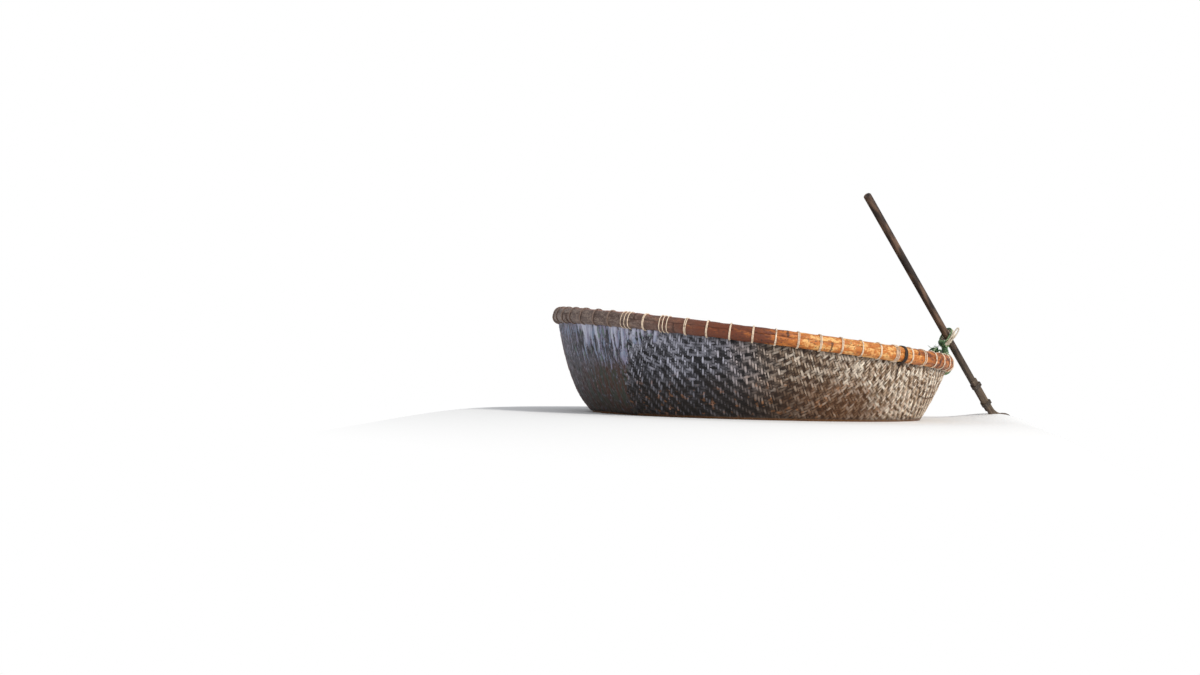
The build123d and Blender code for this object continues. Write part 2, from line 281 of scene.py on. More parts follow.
TAR_DARK = colour(34, 33, 38)
TAR_PALE = colour(170, 170, 184)
TAR_WARM = colour(170, 146, 126)
MUD = colour(40, 31, 25)
SILT = colour(124, 82, 44)
STRAW = colour(255, 243, 224)
STRAW_GREY = colour(210, 176, 142)
STRAW_BROWN = colour(116, 78, 44)
STRAW_SOAKED = colour(132, 82, 40)
STRAW_RUST = colour(150, 98, 56)
# The dark brown in the gaps between the strips is painted shade.
GAP_SHADE = colour(64, 42, 26)


def above_water(place):
    """Height above the water's surface."""
    return place.part("Z") - (
        place.part("X") * WATER_RISE + place.part("Y") * WATER_SIDE + WATER_LEVEL
    )


def worn(place):
    """0 where the tar is whole, towards the stern, and 1 where it is worn off."""
    ragged = place.noise(5.0, 3) * 0.5 + place.noise(19.0, 2) * 0.3 - 0.4
    return (place.part("X") + ragged * 0.6).step(-0.08, 0.56)


def strip_paint(outside):
    """The paint of one face's strips, with painted highlights on the floats that lie on top and
    painted shadow just under the rim. Only the outer face has the line that the water leaves.
    """

    def paint(place):
        # Here this is only where the tar is worn off; no shade is painted with it.
        bare_and_rim_shade = worn(place)
        grain = mark(place, "grain", "Vector")
        strip = mark(place, "strip")
        top = mark(place, "top")
        upright = mark(place, "upright") if outside else 0.6
        height = above_water(place) if outside else place.part("Z") + 0.14
        fibre = grain.streaks(30.0, 700.0, 1.0, 2)
        blotch = place.noise(34.0, 3)
        sunk = (1 - height.step(0.03, 0.20)) * (1.0 if outside else 0.7)
        # Painted highlight: the middle of each float on top is lighter, more so where its strip runs
        # up the wall. In the tar it also stands for tar worn off the raised floats.
        raised_wear_and_highlight = top * (upright * 0.75 + 0.25)

        pale = (place.part("X") + blotch * 0.2).step(-0.06, 0.26).mixed(TAR_PALE, TAR_WARM)
        bloom = place.part("Z").step(0.10, 0.18) * (1 - place.part("X").step(-0.22, 0.06))
        tarred = raised_wear_and_highlight * 0.60 + strip * 0.9 + blotch * 0.7 + bloom * blotch * 0.4
        tarred = tarred.step(0.60, 1.65).mixed(TAR_DARK, pale)
        muddy = (sunk * 0.85 + place.noise(16.0, 3) - 0.5).step(0.15, 0.85) * (1.0 - raised_wear_and_highlight * 0.25)
        tarred = (muddy * 0.95).mixed(tarred, MUD)

        straw = (strip + blotch * 0.4).step(0.4, 1.05).mixed(STRAW_GREY, STRAW)
        straw = (raised_wear_and_highlight * 0.5 + strip * 0.6 + blotch * 0.5).step(0.38, 0.84).mixed(STRAW_BROWN, straw)
        soaked = sunk * (1 - place.part("X").step(0.28, 0.48)) * 0.9
        soaked = (soaked + blotch - 0.5).step(0.10, 0.80) * (1.0 - raised_wear_and_highlight * strip * 0.5)
        straw = (soaked * 0.85).mixed(straw, STRAW_SOAKED)

        base = bare_and_rim_shade.mixed(tarred, straw)
        rust = (strip * 0.5 + place.noise(60.0, 2) * 1.2 + sunk * 0.06).step(1.06, 1.20)
        base = (rust * (bare_and_rim_shade * 0.5 + sunk * 0.4).step(0.05, 0.5) * 0.7).mixed(base, STRAW_RUST)
        # Painted light and shade: floats on top are lighter and the parts beneath darker, together
        # with each float's own tint and the grain.
        shade = raised_wear_and_highlight * 0.54 + strip * 0.46 + fibre * 0.3 + place.noise(120.0, 2) * 0.6 - 0.16
        # Painted shadow: the strips just under the rim are darkened.
        painted_rim_shadow = place.part("Z").step(0.180, 0.198)
        shade = shade * (1 - painted_rim_shadow * 0.5)
        base = shade.shaded(base)
        rough = 0.72
        if outside:
            low = 1 - height.step(0.003, 0.016)
            line = 1 - height.step(0.003, 0.009)
            base = (line * 0.8).mixed((low * 0.7).mixed(base, MUD), SILT)
            rough = 0.72 - low * 0.35
        return {"Base Color": base, "Roughness": rough, "bump": (fibre, 0.0006)}

    return paint


OUTER_STRIP = finish("mat_outer_strip", strip_paint(True), 0.35)
INNER_STRIP = finish("mat_inner_strip", strip_paint(False), 0.35)


def strip_faces(lengths, inside_out):
    """Faces of strips in one mesh: each has three rows of points, a closed back and closed ends."""
    quads, ends, first = [], [], 0
    for length in lengths:
        row = [first + k * length + np.arange(length - 1) for k in range(3)]
        for one, two in ((0, 1), (1, 2), (2, 0)):
            corners = [row[one], row[one] + 1, row[two] + 1, row[two]]
            quads.append(np.stack(corners if inside_out else corners[::-1], -1))
        for end in (0, length - 1):
            corners = [first + k * length + end for k in range(3)]
            ends.append(corners if (end == 0) == inside_out else corners[::-1])
        first += 3 * length
    return np.concatenate(quads).tolist() + ends


def strips(name, lengthwise, side):
    """The strips that run one way. side is 1 for the mat's outer face and -1 for its inner."""
    rows = {"points": [], "grain": [], "strip": [], "top": [], "upright": [], "edge": []}
    lengths = []
    count = int(MAT_END / STRIP_PITCH)
    face = 0 if side > 0 else -MAT_THICKNESS
    for number in range(-count, count + 1):
        middle = number * STRIP_PITCH
        reach = sqrt(MAT_END**2 - middle**2)
        if reach < STRIP_PITCH:
            continue
        last = int(reach / STRIP_PITCH)
        along = np.concatenate([[-reach], np.arange(-last, last + 1) * STRIP_PITCH, [reach]])
        # Over two and under two: rise is 1 where this strip is on top and -1 where it is below
        crossing = along / STRIP_PITCH
        shift = number if lengthwise else 2 - number
        before = np.floor(crossing + 1e-6)
        share = crossing - before
        rise = [np.where((at + shift) % 4 < 2, 1.0, -1.0) for at in (before, before + 1)]
        rise = rise[0] * (1 - share) + rise[1] * share
        # Each stretch on top has its own tint
        floats = chance.uniform(size=count)
        tint = 0.4 * chance.uniform() + 0.6 * floats[((crossing + shift + 1) // 4).astype(int) % count]
        wide = STRIP_WIDTH / 2 * (1 + STRIP_WIDTH_UNEVEN * np.clip(chance.standard_normal(), -2, 2))
        wander = STRIP_WANDER * np.sin(along * STRIP_WANDER_RATE + chance.uniform(0, 6))
        wander = wander * (1 - (along / reach) ** 2)
        height = STRIP_RISE * (1.05 + rise) + STRIP_UNEVEN * chance.standard_normal()
        # How nearly each strip runs up the wall here. The paint uses it to light upright floats more,
        # as a painted highlight.
        upright = along**2 / (along**2 + middle**2 + 1e-9)
        for offset, crown in ((-wide, 0.0), (0.0, STRIP_CROWN), (wide, 0.0)):
            row = middle + offset + wander
            ends = (along, row) if lengthwise else (row, along)
            rows["points"].append(pressed(*ends, face + side * (height + crown)))
            rows["grain"].append(np.stack([along, along * 0 + offset, along * 0 + number], -1))
            rows["strip"].append(tint)
            # Where the strip lies on top, with its crown carrying more than its edges. The paint turns
            # this into a painted highlight along each float.
            rows["top"].append((rise + 1) / 2 * (1.0 if crown else 0.6))
            rows["upright"].append(upright)
            rows["edge"].append(np.full(len(along), crown == 0))
        lengths.append(len(along))
    piece(
        name,
        np.concatenate(rows["points"]),
        strip_faces(lengths, inside_out=(side < 0) == lengthwise),
        "hull",
        "coated_weave",
        OUTER_STRIP if side > 0 else INNER_STRIP,
        grain=np.concatenate(rows["grain"]),
        sharp=np.concatenate(rows["edge"]),
        strip=np.concatenate(rows["strip"]),
        top=np.concatenate(rows["top"]),
        upright=np.concatenate(rows["upright"]),
    )


for face, side in (("outside", 1), ("inside", -1)):
    strips(f"mat_{face}_lengthwise", True, side)
    strips(f"mat_{face}_crosswise", False, side)


def gap_paint(place):
    """What shows between the strips: dark tar where the tar holds, elsewhere a dark brown that is
    painted shade in the gaps, with the water's mud at its foot outside.
    """
    # Painted shade: where the tar is worn off, the gaps are dark brown for the shade between the
    # strips.
    base = worn(place).mixed(TAR_DARK, GAP_SHADE)
    base = (place.noise(30.0, 3) * 0.6 + 0.5).shaded(base)
    facing = place.node("ShaderNodeTexCoord", None, None, "Normal")
    outside = 1 - facing.part("Z").step(-0.05, 0.05)
    sunk = (1 - above_water(place).step(0.03, 0.16)) * outside
    base = (sunk * 0.8).mixed(base, MUD)
    low = (1 - above_water(place).step(0.004, 0.022)) * outside
    line = (1 - above_water(place).step(0.003, 0.009)) * outside
    return {"Base Color": (line * 0.8).mixed(low.mixed(base, MUD), SILT), "Roughness": 0.8}


def dress(node, made):
    """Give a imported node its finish."""
    for slot in nodes[node].material_slots:
        slot.material = made


dress("hull_shell", finish("mat_gaps", gap_paint))

# The tar lies thick over the strips at the stern, brushed on up and down. A paler coat has run
# down over it from under the rim, with brown and green stains below the runs. The tar ends in a
# ragged edge towards the bow.
COAT_FROM = radians(-208)
COAT_TO = radians(-112)
COAT_BOW_EDGE = (radians(-137), radians(-121))
COAT_STERN_EDGE = (radians(-205), radians(-192))
COAT_FOOT = 0.47
COAT_STEP = 0.0026
COAT_DROP = 0.0045
COAT_THICK = 0.0036
COAT_SUNK = 0.0016
COAT_BACK = 0.0006
BRUSH_DEPTH = 0.0007
DRIP_AZIMUTHS = (radians(-152), radians(-119))
DRIP_COUNT = 30
DRIP_LENGTHS = (0.02, 0.12)
DRIP_HALF_WIDTHS = (0.0032, 0.0095)
DRIP_RISE = 0.0012
SHORT_DRIPS_FROM = radians(-128)


def ramp(value, low, high):
    """0 below low and 1 above high, with a smooth slope between."""
    share = np.clip((value - low) / (high - low), 0, 1)
    return share * share * (3 - 2 * share)


columns = np.linspace(COAT_FROM, COAT_TO, round((COAT_TO - COAT_FROM) * RIM_RADIUS / COAT_STEP))
drops = np.linspace(0, MAT_END - COAT_FOOT, round((MAT_END - COAT_FOOT) / COAT_DROP))
azimuth, down = np.meshgrid(columns, drops, indexing="ij")
run = azimuth * RIM_RADIUS
ragged = 0.05 * ripple(run, down * 0.4, 0.09, 11) + 0.03 * ripple(run, down * 0.3, 0.03, 12)
cover = 1 - ramp(azimuth + ragged, *COAT_BOW_EDGE)
cover = cover * ramp(azimuth + ragged, *COAT_STERN_EDGE)
brushed = ripple(run, down * 0.34, 0.0065, 13) + ripple(run, down * 0.15, 0.016, 14)
thick = COAT_THICK * cover - COAT_SUNK * (1 - cover) + BRUSH_DEPTH * brushed * cover
drip = np.zeros_like(thick)
for _ in range(DRIP_COUNT):
    middle = chance.uniform(*DRIP_AZIMUTHS)
    long = chance.uniform(*DRIP_LENGTHS) * (1.0 if middle < SHORT_DRIPS_FROM else 0.6)
    half = chance.uniform(*DRIP_HALF_WIDTHS)
    aside = (azimuth - middle) * RIM_RADIUS + 0.003 * np.sin(down * 60 + middle * 40)
    here = np.exp(-((aside / half) ** 2)) * (1 - ramp(down, long * 0.85, long))
    thick = np.maximum(thick, (COAT_THICK + DRIP_RISE) * here - COAT_SUNK * (1 - here))
    drip = np.maximum(drip, here * (1 - 0.5 * down / long))
outer = on_bowl(MAT_END - down, azimuth, thick)
inner = on_bowl(MAT_END - down, azimuth, np.full_like(thick, -COAT_SUNK - COAT_BACK))


def sheet_faces(rows, columns):
    """Faces of a thin closed sheet: its front's grid of points, then its back's."""
    corner = np.arange(rows * columns).reshape(rows, columns)
    back = corner + rows * columns
    quads = [
        (corner[:-1, :-1], corner[:-1, 1:], corner[1:, 1:], corner[1:, :-1]),
        (back[:-1, :-1], back[1:, :-1], back[1:, 1:], back[:-1, 1:]),
        (corner[0, :-1], back[0, :-1], back[0, 1:], corner[0, 1:]),
        (corner[-1, 1:], back[-1, 1:], back[-1, :-1], corner[-1, :-1]),
        (corner[1:, 0], back[1:, 0], back[:-1, 0], corner[:-1, 0]),
        (corner[:-1, -1], back[:-1, -1], back[1:, -1], corner[1:, -1]),
    ]
    return np.concatenate([np.stack([c.ravel() for c in quad], -1) for quad in quads])[:, ::-1]


SLATE = colour(92, 92, 106)
SLATE_PALE = colour(150, 150, 168)
SLATE_PINK = colour(122, 100, 104)
STAIN_GREEN = colour(50, 54, 44)
STAIN_BROWN = colour(66, 42, 32)
DRIP_WHITE = colour(196, 198, 218)
DRIP_BLUE = colour(128, 142, 166)
DRIP_LILAC = colour(142, 134, 160)
DRIP_GREEN = colour(104, 122, 118)
WARM_EDGE_LIGHT = colour(128, 92, 76)


def coat_paint(place):
    """Brushed tar, stained low down, with the pale runs over it, painted shadow just under the rim and
    painted warm light along the edge at the very stern.
    """
    grain = mark(place, "grain", "Vector")
    drips = mark(place, "drip")
    height = above_water(place)
    brush = grain.streaks(150.0, 20.0, 1.0, 3)
    dabs = grain.streaks(170.0, 62.0, 1.0, 3)
    fine = grain.streaks(480.0, 160.0, 1.0, 2)
    base = (brush * 0.45 + dabs * 0.6 + fine * 0.15).step(0.44, 0.72).mixed(TAR_DARK, SLATE)
    base = (dabs + fine * 0.5 + brush * 0.3).step(0.92, 1.12).mixed(base, SLATE_PALE)
    base = (fine * 0.8 + dabs * 0.4).step(0.64, 0.74).mixed(base, SLATE_PINK)
    lower = 1 - height.step(0.05, 0.23)
    stain = grain.streaks(70.0, 12.0, 1.0, 3).step(0.42, 0.56).mixed(STAIN_GREEN, STAIN_BROWN)
    stain = dabs.step(0.55, 0.70).mixed(stain, SLATE)
    stained = (grain.streaks(90.0, 9.0, 1.0, 3) * 0.9 + lower - 0.3).step(0.30, 0.80)
    forward = place.part("X").step(-0.54, -0.42)
    base = (stained * (forward * 0.65 + 0.35)).mixed(base, stain)
    # Painted light: a warm edge along the very stern, where the wall turns away, as if lit from
    # behind.
    rubbed_and_edge_lit = (1 - (place.part("Y") ** 2).step(0.001, 0.009)) * place.noise(40.0, 3).step(0.35, 0.65)
    base = (rubbed_and_edge_lit * 0.6).mixed(base, WARM_EDGE_LIGHT)
    sheet = grain.streaks(120.0, 15.0, 1.0, 3) * 1.5 - grain.part("Y") * 2.2 - 0.22
    sheet = sheet + place.part("X").step(-0.56, -0.44) * 0.10 + (fine - 0.5) * 0.35
    tint = grain.streaks(60.0, 22.0, 1.0, 2)
    milk = tint.step(0.40, 0.56).mixed(DRIP_BLUE, DRIP_LILAC)
    milk = (tint + fine * 0.2).step(0.66, 0.72).mixed(milk, DRIP_GREEN)
    milk = (drips + fine * 0.5 + dabs * 0.4).step(0.80, 1.40).mixed(milk, DRIP_WHITE)
    run_down = (sheet + drips * 0.25).step(0.52, 0.59)
    # Painted shadow: just under the rim, where the pale runs don't cover it, the tar is darkened.
    bare_and_rim_shade = (1 - grain.part("Y").step(0.05, 0.13)) * place.part("X").step(-0.55, -0.50)
    base = (1 - bare_and_rim_shade * 0.5).shaded(base)
    base = (run_down * 0.9).mixed(base, milk)
    low = 1 - height.step(0.003, 0.016)
    return {
        "Base Color": (low * 0.8).mixed(base, MUD),
        "Roughness": 0.58 - drips * 0.1,
        "bump": (dabs + fine * 0.5, 0.0016),
    }


piece(
    "tar_coat",
    np.concatenate([outer.reshape(-1, 3), inner.reshape(-1, 3)]),
    sheet_faces(*thick.shape),
    "hull",
    "coated_weave",
    finish("tar_coat", coat_paint, 0.4),
    grain=np.tile(np.stack([run, down, 0 * thick], -1).reshape(-1, 3), (2, 1)),
    drip=np.tile(drip.ravel(), 2),
)

# The rim: two half-round bamboo hoops clamp the mat's edge between them, and a thin split cane
# is laid over it. Bamboo has a ring at each joint, and the culm swells a little there.
HOOP_RADIUS = 0.019
HOOP_OFFSET = 0.003
HOOP_FACE = MAT_THICKNESS / 2 + 0.0003
CAP_WIDTH = 0.035
CAP_EDGE = 0.0125
CAP_CROWN = 0.0255
LASHING_COUNT = 56
PITCH = 2 * pi / LASHING_COUNT
JOINT_GAPS = 7
JOINT_RISE = 0.0012
JOINT_LENGTH = 0.0030
LUMP_RISE = 0.0008
LUMP_SIZE = 0.05
CANE_STEP = radians(1.25)


def on_rim(azimuth, across, up):
    """Points of the rim's section: across runs out through the mat, and up runs along it."""
    radius = RIM_RADIUS + across * cos(RIM_LEAN) + up * sin(RIM_LEAN)
    height = RIM_HEIGHT - across * sin(RIM_LEAN) + up * cos(RIM_LEAN)
    return np.stack([radius * np.cos(azimuth), radius * np.sin(azimuth), height + 0 * azimuth], -1)


BAMBOO_SOOT_AND_SHADE = colour(92, 72, 64)
BAMBOO_GREY = colour(140, 120, 108)
BAMBOO_TOP_HIGHLIGHT = colour(176, 116, 94)
BAMBOO_RED = colour(112, 52, 22)
BAMBOO_ORANGE = colour(204, 118, 44)
BAMBOO_GOLD = colour(250, 192, 118)
BAMBOO_DARK = colour(62, 32, 16)


def bamboo_paint(place):
    """Grey and sooty at the stern, partly as painted shade, red amidships and golden towards the bow,
    partly as painted light, with a painted pink highlight along the top at the stern.
    """
    grain = mark(place, "grain", "Vector")
    joint = mark(place, "joint")
    fibre = grain.streaks(9.0, 500.0, 1.0, 2)
    patch = grain.streaks(30.0, 60.0, 1.0, 4)
    fleck = grain.streaks(110.0, 170.0, 1.0, 3)
    here = place.part("X") + (grain.streaks(11.0, 20.0, 1.0, 2) - 0.5) * 0.22
    # Partly painted light: the bamboo turns golden on the bow side, where the light falls.
    gold = here.step(-0.05, 0.20) * 0.95 - here.step(0.44, 0.55) * 0.5 + (patch - 0.5) * 2.2
    base = gold.step(0.15, 0.75).mixed(BAMBOO_RED, BAMBOO_ORANGE)
    base = (gold + (fleck - 0.5) * 1.6).step(0.80, 1.25).mixed(base, BAMBOO_GOLD)
    # Partly painted shade: the stern's sooty grey also stands for the shade on that side.
    grey = (fleck + (patch - 0.5) * 0.8).step(0.38, 0.66).mixed(BAMBOO_SOOT_AND_SHADE, BAMBOO_GREY)
    # Painted highlight: a pink band along the top of the rim at the stern.
    grey = (place.part("Z") + (patch + fleck - 1) * 0.012).step(0.236, 0.243).mixed(grey, BAMBOO_TOP_HIGHLIGHT)
    brown = (here + (fleck - 0.5) * 0.3).step(-0.40, -0.06)
    base = brown.mixed(grey, base)
    dirt = (place.noise(160.0, 3) * 0.8 + joint * 0.35 + fleck * 0.35).step(0.62, 0.76)
    base = (dirt * 0.8).mixed(base, BAMBOO_DARK)
    return {
        "Base Color": (fibre * 0.5 + 0.66).shaded(base),
        "Roughness": 0.55,
        "bump": (fibre * 0.4 + fleck + patch * 0.6, 0.0016),
    }


BAMBOO_RIM = finish("bamboo_rim", bamboo_paint)


def wrapped_faces(rings, around):
    """Faces between one ring of points and the next."""
    faces = []
    for ring in range(rings - 1):
        for k in range(around):
            after = (k + 1) % around
            corners = (k, after, after + around, k + around)
            faces.append([ring * around + corner for corner in corners])
    return faces


def cane(name, outline, middle, node, slot, joints, seed):
    """A cane bent round the rim. Its outline is points (across, up), and it swells from middle."""
    outline, middle = np.array(outline), np.array(middle)
    azimuths = set(np.round(np.arange(0, 2 * pi, CANE_STEP), 5))
    for joint in joints:
        azimuths |= set(np.round(joint + np.linspace(-0.02, 0.02, 17), 5) % (2 * pi))
    azimuths = np.array(sorted(azimuths))
    apart = np.abs((azimuths[:, None] - np.array(joints)[None] + pi) % (2 * pi) - pi) * RIM_RADIUS
    ring = np.exp(-((apart / JOINT_LENGTH) ** 2)).max(axis=1)
    lumps = ripple(azimuths * RIM_RADIUS, seed, LUMP_SIZE, seed)
    between = np.sin(azimuths * LASHING_COUNT / 2) ** 2 * (1 - ring)
    lumps = LUMP_RISE * np.minimum(lumps, 0.7) * between * (1.8 - np.cos(azimuths))
    swell = JOINT_RISE * ring + lumps
    reach = np.hypot(*(outline - middle).T).max()
    rows = []
    for azimuth, more in zip(azimuths, swell):
        grown = middle + (outline - middle) * (1 + more / reach)
        rows.append([on_rim(azimuth, across, up) for across, up in grown])
    points = np.array(rows).reshape(-1, 3)
    around = len(outline)
    faces = np.array(wrapped_faces(len(azimuths) + 1, around)) % len(points)
    turns = run_along(outline)
    grain = [[azimuth * RIM_RADIUS, turn, 7.0 * seed] for azimuth in azimuths for turn in turns]
    joint = np.repeat(ring, around)
    made = piece(name, points, faces, "hull", slot, BAMBOO_RIM, grain=grain, joint=joint)
    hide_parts(node)


def joint_places(first_gap):
    """Azimuths of a hoop's joints, each in a gap between two lashings."""
    return [(gap + 0.5) * PITCH for gap in range(first_gap, LASHING_COUNT, JOINT_GAPS)]


half_height = sqrt(HOOP_RADIUS**2 - (HOOP_FACE - HOOP_OFFSET) ** 2)
steepest = atan2(half_height, HOOP_FACE - HOOP_OFFSET)
for name, side, first_gap in (("outer", 1, 3), ("inner", -1, 5)):
    outline = []
    for turn in np.linspace(-steepest, steepest, 15):
        across = side * (HOOP_OFFSET + HOOP_RADIUS * cos(turn))
        outline.append((across, side * HOOP_RADIUS * sin(turn)))
    middle = (side * HOOP_FACE, 0.0)
    joints = joint_places(first_gap)
    outline.append(middle)
    cane(f"{name}_hoop", outline, middle, f"rim_{name}_hoop", "bamboo_rim", joints, seed=10)

outline = []
for turn in np.linspace(0, pi, 13):
    outline.append((CAP_WIDTH / 2 * cos(turn), CAP_EDGE + (CAP_CROWN - CAP_EDGE) * sin(turn)))
cane("edge_cane", outline, (0, CAP_EDGE), "rim_cap", "bamboo_cap", joint_places(1), seed=9)

# The lashings: two or three turns of twisted cord each, drawn tight round both hoops and the cane
# and through the mat below them. Each is tied off before the next.
CORD_RADIUS = 0.0014
SNUG = 0.0003
CREST_WIDTH = 0.012
CREST_SINK = 0.0007
UNDER_HOOP = 0.002
PLY_DEPTH = 0.16
LASHING_STRAY = 0.0012
LASHING_LAY = 0.016
LASHING_STEP = 0.0042
TURN_LEAN = 0.0006


def smooth_line(points, spacing=0.0025, closed=False):
    """A curve through given points, resampled evenly."""
    points = np.asarray(points, float)
    if closed:
        points = np.vstack([points[-1], points, points[:2]])
    else:
        points = np.vstack([2 * points[0] - points[1], points, 2 * points[-1] - points[-2]])
    t = np.linspace(0, 1, 13)[:-1, None]
    pieces = []
    for a, b, c, d in zip(points, points[1:], points[2:], points[3:]):
        squared = 2 * a - 5 * b + 4 * c - d
        cubed = 3 * b - a - 3 * c + d
        pieces.append(0.5 * (2 * b + (c - a) * t + squared * t**2 + cubed * t**3))
    line = np.concatenate(pieces + [points[-2:-1]])
    length = run_along(line)
    even = np.linspace(0, length[-1], max(4, round(length[-1] / spacing)))
    return np.stack([np.interp(even, length, line[:, k]) for k in range(3)], -1)


def square_to(line, up):
    """Two directions square to a line at each of its points, carried along it without twist."""
    ahead = np.gradient(line, axis=0)
    ahead /= np.linalg.norm(ahead, axis=1)[:, None]
    side = np.cross(ahead[0], up)
    sides = []
    for direction in ahead:
        side = side - direction * (side @ direction)
        side = side / np.linalg.norm(side)
        sides.append(side)
    sides = np.array(sides)
    return sides, np.cross(ahead, sides)


def cord(line, radius, seed, plies=0, lay=1.0, around=6):
    """A cord along a line, as points, faces and grain. Its plies are twisted once in each lay."""
    one, two = (way[:, None] for way in square_to(line, np.array((0.1, 0.2, 1.0))))
    run = run_along(line)
    angle = np.arange(around) * 2 * pi / around
    ply = np.cos(plies * (angle[None] - run[:, None] * 2 * pi / lay))
    reach = radius * (1 + (PLY_DEPTH if plies else 0) * ply)
    spread = one * (np.cos(angle) * reach)[..., None] + two * (np.sin(angle) * reach)[..., None]
    points = (line[:, None] + spread).reshape(-1, 3)
    first_end = list(range(around))[::-1]
    last_end = list(range(len(points) - around, len(points)))
    faces = wrapped_faces(len(line), around) + [first_end, last_end]
    grain = [np.repeat(run, around), np.tile(angle, len(line)), np.full(len(points), seed)]
    return points, faces, np.stack(grain, -1)


def cord_piece(name, cords, body, slot, material):
    """Several cords as one piece."""
    points, faces, grain, start = [], [], [], 0
    for some_points, some_faces, some_grain in cords:
        points.append(some_points)
        faces += [[corner + start for corner in face] for face in some_faces]
        grain.append(some_grain)
        start += len(some_points)
    return piece(
        name, np.concatenate(points), faces, body, slot, material, grain=np.concatenate(grain)
    )


def round_rim(gap):
    """A cord's middle line round the rim as (across, up), from the mat's one face to the other."""
    reach = HOOP_RADIUS + gap
    outside = [(MAT_THICKNESS / 2 - UNDER_HOOP, -reach), (HOOP_FACE, -reach)]
    for turn in np.radians(range(-75, 31, 15)):
        outside.append((HOOP_OFFSET + reach * cos(turn), reach * sin(turn)))
    outside.append((CREST_WIDTH * 1.2 + gap * 0.9, HOOP_RADIUS + gap * 0.6))
    outside.append((CREST_WIDTH / 2, CAP_CROWN + gap - CREST_SINK))
    return outside + [(-across, up) for across, up in reversed(outside)]


def rim_turn(azimuth, gap, lean=0.0):
    """Points of one turn round the rim at an azimuth. lean shifts its top along the rim."""
    points = []
    for across, up in round_rim(gap):
        shift = lean * (up + HOOP_RADIUS) / (2 * HOOP_RADIUS) / RIM_RADIUS
        points.append(on_rim(azimuth + shift, across, up))
    return points


# By lashing, where it has more turns or looser ones: how many turns, and how many radii apart
SPARE_TURNS = {13: (3, 2.6), 22: (3, 2.2), 36: (3, 9.5), 38: (3, 8.3), 49: (3, 4.0), 51: (2, 5.5)}

CREAM = colour(240, 218, 192)
CREAM_GREY = colour(132, 112, 102)
CORD_DIRT = colour(120, 92, 68)


def lashing_paint(place):
    """Cream cord, dirty in places and grey at the very stern."""
    grain = mark(place, "grain", "Vector")
    fresh = (place.part("X") + grain.part("Z") * 0.02).step(-0.42, -0.37)
    base = fresh.mixed(CREAM_GREY, CREAM)
    base = grain.streaks(160.0, 0.6, 5.0, 3).step(0.50, 0.72).mixed(base, CORD_DIRT)
    return {"Base Color": base, "Roughness": 0.85, "bump": (place.noise(900.0, 2), 0.0003)}


cords = []
for number in range(LASHING_COUNT):
    middle = number * PITCH + chance.normal(0, LASHING_STRAY)
    seed = chance.uniform(-1, 1)
    turns, apart = SPARE_TURNS.get(number, (2, 2.1))
    for turn in range(turns):
        place = middle + (turn - (turns - 1) / 2) * apart * CORD_RADIUS / RIM_RADIUS
        line = rim_turn(place, SNUG + CORD_RADIUS, chance.normal(0, TURN_LEAN))
        line = smooth_line(line, LASHING_STEP)
        cords.append(cord(line, CORD_RADIUS, seed, plies=2, lay=LASHING_LAY))
LASHING_CORD = finish("lashing_cord", lashing_paint)
lashings = cord_piece("rim_cords", cords, "hull", "lashing_cord", LASHING_CORD)
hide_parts("rim_lashings")

# The binding: a dark tarred cord, wound round the rim where the hoops' ends meet and pulled tight.
# Its short tail hangs down the wall outside.
BINDING_AZIMUTH = -6.5 * PITCH
BINDING_CORD = 0.0016
BINDING_TAIL_CORD = BINDING_CORD * 0.8
BINDING_TURNS = 4
BINDING_STEP = 0.004
DARK_CORD_LAY = 0.014
# The tail's way: how far down from the mat's edge, to which side in radians, and how far out
BINDING_TAIL = (
    (0.004, 0.004, 0.006),
    (0.018, 0.001, 0.004),
    (0.034, 0.006, 0.0045),
    (0.046, 0.003, 0.006),
)

CORD_TAR = colour(38, 30, 28)
CORD_WORN = colour(84, 68, 60)


def dark_cord_paint(place):
    """Tarred cord, worn paler along its plies."""
    grain = mark(place, "grain", "Vector")
    base = grain.streaks(220.0, 0.8, 3.0, 3).step(0.4, 0.7).mixed(CORD_TAR, CORD_WORN)
    return {"Base Color": base, "Roughness": 0.8, "bump": (place.noise(900.0, 2), 0.0003)}


DARK_CORD = finish("dark_cord", dark_cord_paint)
cords = []
for turn in range(BINDING_TURNS):
    place = BINDING_AZIMUTH + (turn - (BINDING_TURNS - 1) / 2) * 2.05 * BINDING_CORD / RIM_RADIUS
    line = smooth_line(rim_turn(place, SNUG + BINDING_CORD, chance.normal(0, TURN_LEAN)), BINDING_STEP)
    cords.append(cord(line, BINDING_CORD, turn, plies=2, lay=DARK_CORD_LAY))
tail = [on_rim(BINDING_AZIMUTH, 0.012, -HOOP_RADIUS)]
for along, aside, out in BINDING_TAIL:
    tail.append(on_bowl(MAT_END - along, BINDING_AZIMUTH + aside, out))
cords.append(cord(smooth_line(tail, 0.003), BINDING_TAIL_CORD, 9, plies=2, lay=DARK_CORD_LAY))
binding = cord_piece("rim_binding_cord", cords, "hull", "dark_cord", DARK_CORD)
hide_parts("rim_binding")

# Bent laths of split bamboo stiffen the bottom, fore and aft below and athwart above. A cross of
# tarred cord through the mat ties them down wherever two of them meet.
LATH_SPACING = 0.160
LATH_WIDTH = 0.034
LATHS_HIGH = 0.0152
LATH_CORD = 0.0014
LATH_CORD_STRAY = 0.0005
LATH_CORD_STEP = 0.0035
# Half of a tie's way over the laths: how many half laths out, and how high off the mat
LATH_TIE = ((1.5, -0.002), (1.2, 0.006), (1.04, LATHS_HIGH - 0.001), (0.5, LATHS_HIGH))

LATH_PALE = colour(168, 128, 84)
LATH_BROWN = colour(116, 90, 64)
LATH_GREY = colour(98, 86, 76)
LATH_STAIN = colour(70, 52, 38)


